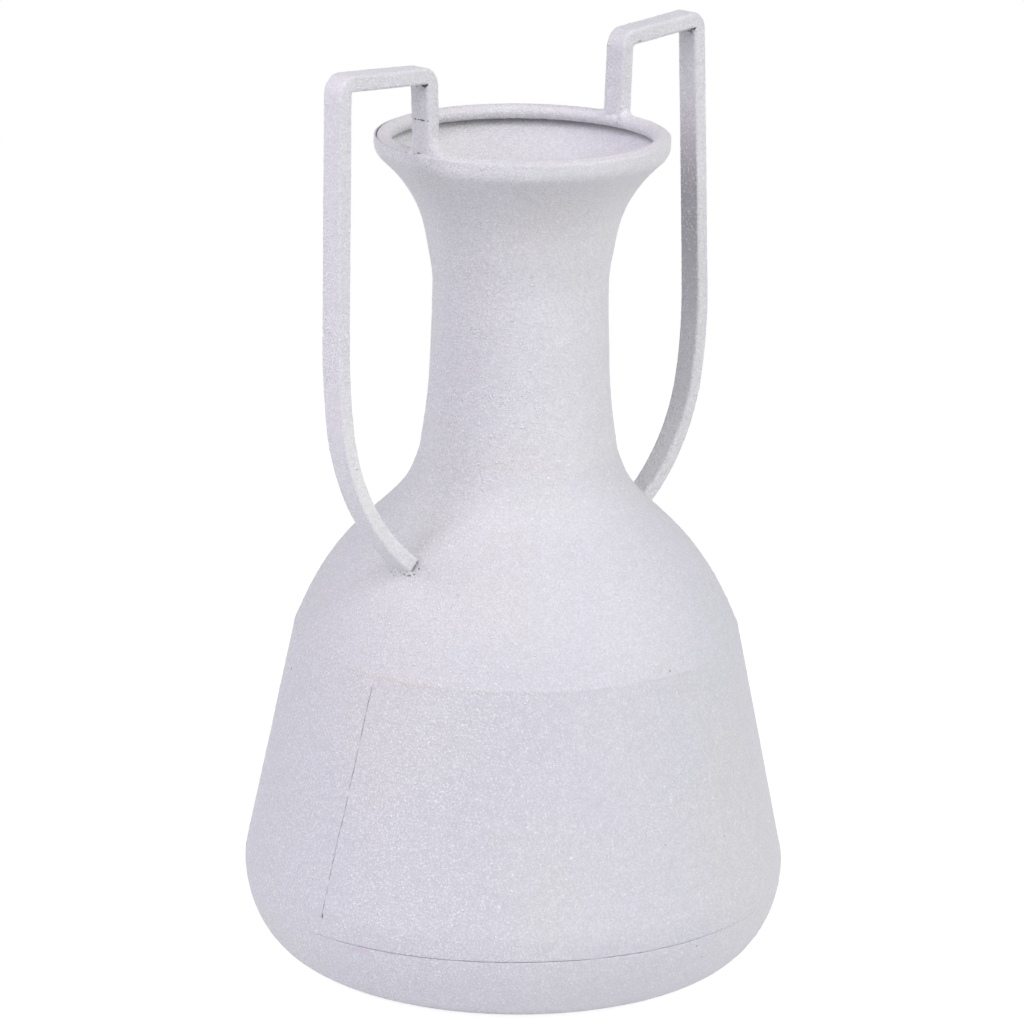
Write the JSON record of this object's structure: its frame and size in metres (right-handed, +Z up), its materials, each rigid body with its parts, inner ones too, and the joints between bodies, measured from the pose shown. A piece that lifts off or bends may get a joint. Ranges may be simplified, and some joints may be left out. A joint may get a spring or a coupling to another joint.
{
  "type": "urn vase",
  "caption": "Tall painted steel urn vase with a tapering body, domed shoulder, narrow neck, trumpet mouth with a rod rim, and flat-bar handles that rise above the mouth.",
  "frame": {"origin": "centre of the flat floor that the vase stands on", "axes": "+Z up along the vase's axis, +X from the axis towards the right handle, so that both handles lie in the XZ plane"},
  "size_m": [0.27, 0.27, 0.4607],
  "materials": {
    "painted_sheet": "matt white coating with a fine raised grain",
    "painted_bar": "matt white coating with a fine raised grain",
    "painted_weld": "matt white coating over ground weld"
  },
  "bodies": {
    "root": {"base_pan": "painted_sheet", "body_skirt": "painted_sheet", "shoulder_seam_weld": "painted_weld", "shoulder_dome": "painted_sheet", "neck_tube": "painted_sheet", "mouth_flare": "painted_sheet", "rim_ring": "painted_bar", "rim_bead_weld": "painted_weld", "left_handle_bar": "painted_bar", "left_handle_stub": "painted_bar", "left_front_rim_weld": "painted_weld", "left_back_rim_weld": "painted_weld", "left_foot_weld": "painted_weld", "right_handle_bar": "painted_bar", "right_handle_stub": "painted_bar", "right_front_rim_weld": "painted_weld", "right_back_rim_weld": "painted_weld", "right_foot_weld": "painted_weld"}
  },
  "joints": []
}
